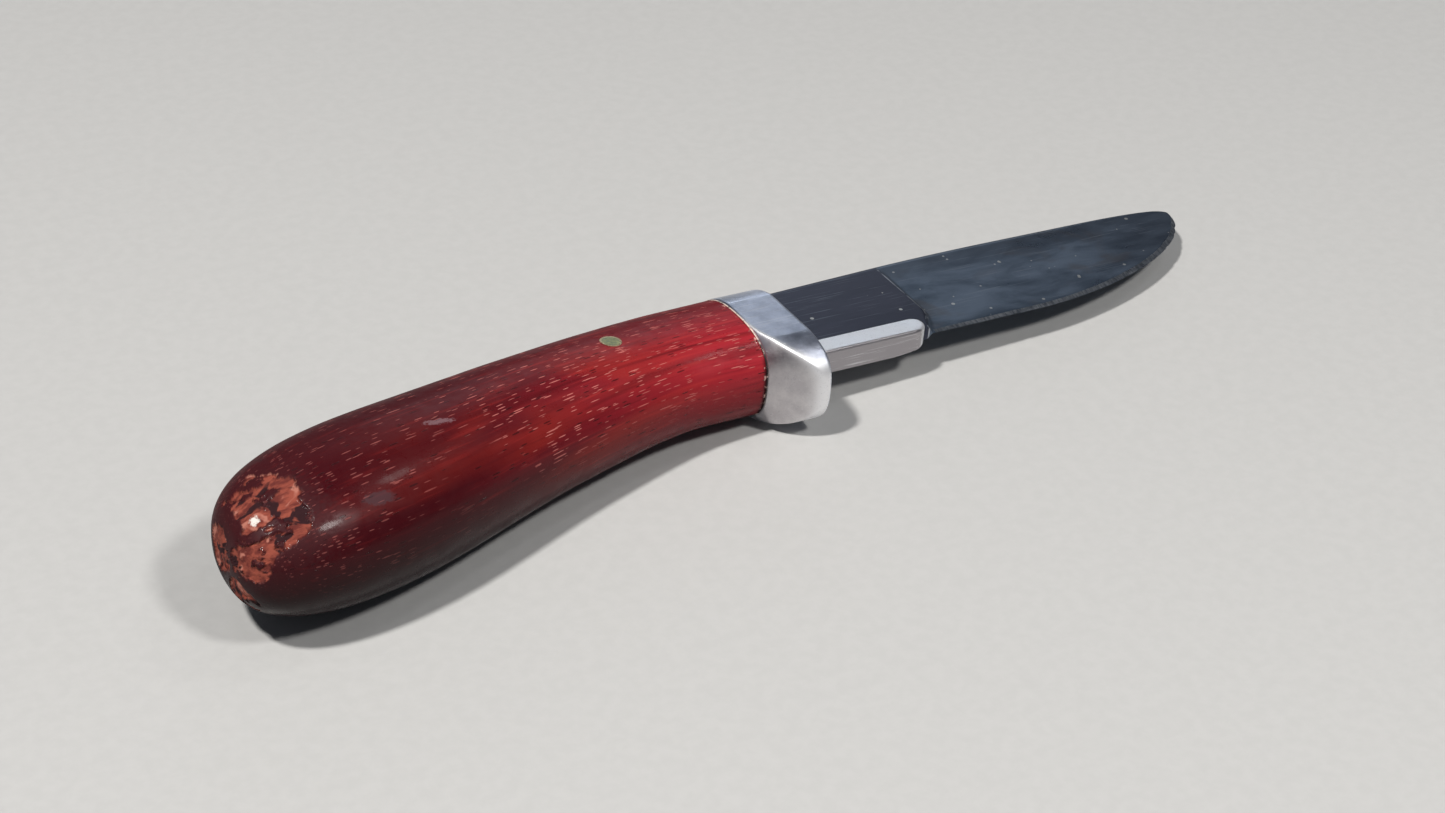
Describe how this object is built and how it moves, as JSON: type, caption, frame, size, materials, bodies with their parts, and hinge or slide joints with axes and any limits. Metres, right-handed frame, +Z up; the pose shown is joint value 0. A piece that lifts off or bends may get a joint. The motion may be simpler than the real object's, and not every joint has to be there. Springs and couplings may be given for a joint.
{
  "type": "boning knife",
  "caption": "Fixed-blade boning knife with a curved wooden grip, metal finger guard with a tongue along the ricasso, hidden tang and a tubular cross pin.",
  "frame": {"origin": "centre of the footprint on the resting surface, knife lying on its side", "axes": "+X towards the blade tip, +Y towards the spine of the blade, +Z up through the flat of the blade"},
  "size_m": [0.2196, 0.0526, 0.0268],
  "materials": {
    "blade_steel": "dark grey-blue ground steel, fine scratches",
    "guard_metal": "satin, hand filed and scratched",
    "grip_wood": "red lacquered open-pored wood, worn at the butt",
    "cured_glue": "dull cured resin",
    "pin_metal": "dull worn brass",
    "pin_fill": "mottled olive resin"
  },
  "bodies": {
    "root": {"blade": "blade_steel", "guard": "guard_metal", "handle": "grip_wood", "tang_bedding": "cured_glue", "pin_tube": "pin_metal", "pin_core": "pin_fill"}
  },
  "joints": []
}
